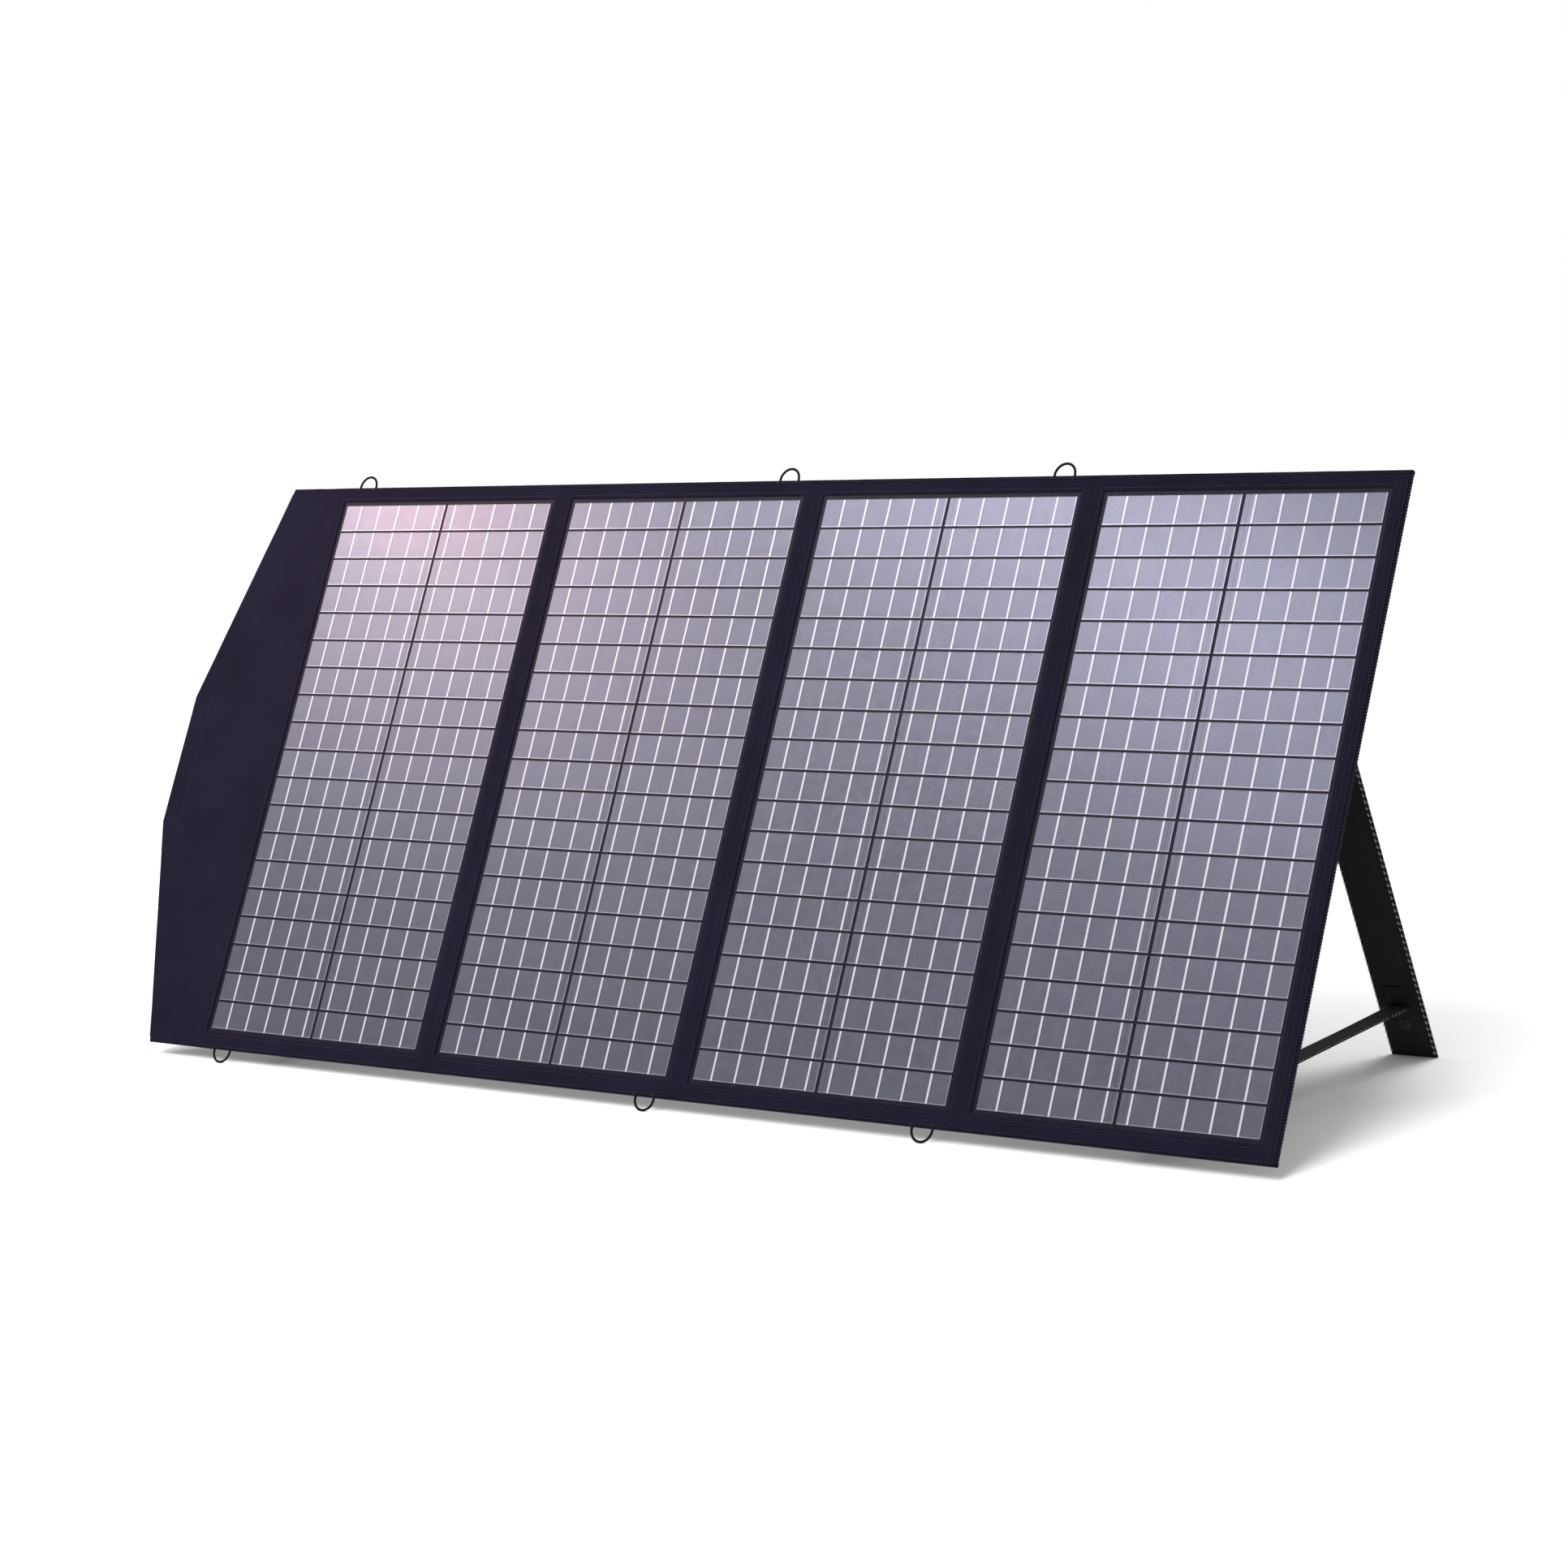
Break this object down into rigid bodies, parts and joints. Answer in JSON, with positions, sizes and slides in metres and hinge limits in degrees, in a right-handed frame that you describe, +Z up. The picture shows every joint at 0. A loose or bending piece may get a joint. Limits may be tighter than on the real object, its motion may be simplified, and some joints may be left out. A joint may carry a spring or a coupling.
{
  "type": "folding solar panel",
  "caption": "Folding sewn solar panel that stands leaning on two board legs, with a closing flap, hanging loops, a junction box and a carrying handle.",
  "frame": {"origin": "on the ground in the middle of the open, standing panel's box", "axes": "+X along the row of panels, away from the closing flap; +Y from the cells' side to the legs' side; +Z up"},
  "size_m": [1.5614, 0.4954, 0.6228],
  "materials": {
    "front_fabric": "matte",
    "back_fabric": "matte",
    "binding_tape": "matte",
    "leg_fabric": "matte",
    "webbing": "matte",
    "grip_pad": "matte",
    "loop_cord": "satin",
    "clear_film": "gloss",
    "cell": "satin",
    "ribbon": "satin",
    "backing_sheet": "matte",
    "copper": "satin",
    "inner_board": "matte",
    "magnet_steel": "satin",
    "plate_steel": "satin",
    "anchor_plastic": "matte",
    "box_plastic": "matte",
    "gland_nylon": "satin",
    "zip_metal": "satin",
    "snap_metal": "satin"
  },
  "bodies": {
    "panel_1": {"panel_1_front_frame": "front_fabric", "panel_1_film": "clear_film", "panel_1_ribbons": "ribbon", "panel_1_cells": "cell", "panel_1_board": "backing_sheet", "panel_1_back_cover": "back_fabric", "panel_1_binding": "binding_tape", "hanging_loops_1": "loop_cord", "junction_box_base": "box_plastic", "junction_box_lid": "box_plastic", "cable_glands": "gland_nylon", "pocket_cover": "back_fabric"},
    "panel_2": {"panel_2_front_frame": "front_fabric", "panel_2_film": "clear_film", "panel_2_ribbons": "ribbon", "panel_2_cells": "cell", "panel_2_board": "backing_sheet", "panel_2_back_cover": "back_fabric", "panel_2_binding": "binding_tape", "hanging_loops_2": "loop_cord", "fold_web_12": "front_fabric", "fold_web_23": "front_fabric", "fold_leads_12": "copper", "fold_leads_23": "copper"},
    "panel_3": {"panel_3_front_frame": "front_fabric", "panel_3_film": "clear_film", "panel_3_ribbons": "ribbon", "panel_3_cells": "cell", "panel_3_board": "backing_sheet", "panel_3_back_cover": "back_fabric", "panel_3_binding": "binding_tape", "hanging_loops_3": "loop_cord", "fold_web_34": "front_fabric", "fold_leads_34": "copper"},
    "panel_4": {"panel_4_front_frame": "front_fabric", "panel_4_film": "clear_film", "panel_4_ribbons": "ribbon", "panel_4_cells": "cell", "panel_4_board": "backing_sheet", "panel_4_back_cover": "back_fabric", "panel_4_binding": "binding_tape", "strike_plates": "plate_steel"},
    "spine": {"spine_web": "front_fabric", "spine_strip": "front_fabric", "handle_anchors": "anchor_plastic"},
    "flap": {"flap_web": "front_fabric", "flap_cover": "front_fabric", "flap_board": "inner_board", "flap_magnets": "magnet_steel"},
    "handle": {"handle_strap": "webbing", "handle_grip": "grip_pad"},
    "leg_left": {"leg_left_board": "inner_board", "leg_left_sleeve": "leg_fabric", "leg_left_strap": "webbing", "leg_left_snap": "snap_metal"},
    "leg_right": {"leg_right_board": "inner_board", "leg_right_sleeve": "leg_fabric", "leg_right_strap": "webbing", "leg_right_snap": "snap_metal"},
    "zip_slider": {"zip_slider": "zip_metal"}
  },
  "joints": [
    {"name": "fold_23", "type": "hinge", "parent": "panel_2", "child": "panel_3", "pos_m": [0.07275, -0.08378, 0.30974], "axis": [0, 0.4571, 0.8894], "range_deg": [0, 180], "deforming": ["fold_web_23", "fold_leads_23"]},
    {"name": "fold_34", "type": "hinge", "parent": "panel_3", "child": "panel_4", "pos_m": [0.42475, -0.09037, 0.31312], "axis": [0, -0.4571, -0.8894], "range_deg": [0, 180], "deforming": ["fold_web_34", "fold_leads_34"]},
    {"name": "fold_12", "type": "hinge", "parent": "panel_2", "child": "panel_1", "pos_m": [-0.27925, -0.09037, 0.31312], "axis": [0, 0.4571, 0.8894], "range_deg": [0, 180], "deforming": ["fold_web_12", "fold_leads_12"]},
    {"name": "spine_fold", "type": "hinge", "parent": "panel_1", "child": "spine", "pos_m": [-0.63665, -0.09037, 0.31312], "axis": [0, 0.4571, 0.8894], "range_deg": [0, 90], "deforming": ["spine_web"]},
    {"name": "flap_fold", "type": "hinge", "parent": "spine", "child": "flap", "pos_m": [-0.66465, -0.09037, 0.31312], "axis": [0, 0.4571, 0.8894], "range_deg": [0, 90], "deforming": ["flap_web"]},
    {"name": "leg_left_fold", "type": "hinge", "parent": "panel_1", "child": "leg_left", "pos_m": [-0.50075, 0.03082, 0.52968], "axis": [-1, 0, 0], "range_deg": [0, 49], "deforming": ["leg_left_strap"]},
    {"name": "leg_right_fold", "type": "hinge", "parent": "panel_4", "child": "leg_right", "pos_m": [0.64625, 0.03082, 0.52968], "axis": [-1, 0, 0], "range_deg": [0, 49], "deforming": ["leg_right_strap"]},
    {"name": "handle_swing", "type": "hinge", "parent": "spine", "child": "handle", "pos_m": [-0.64995, -0.08192, 0.30878], "axis": [0, 0.4571, 0.8894], "range_deg": [-60, 60]},
    {"name": "zip_slide", "type": "slide", "parent": "panel_1", "child": "zip_slider", "axis": [1, 0, 0], "range_m": [0, 0.118]}
  ],
  "couplings": [
    {"joint": "fold_12", "follows": "fold_23", "ratio": 1},
    {"joint": "fold_34", "follows": "fold_23", "ratio": 1},
    {"joint": "flap_fold", "follows": "spine_fold", "ratio": 1}
  ]
}
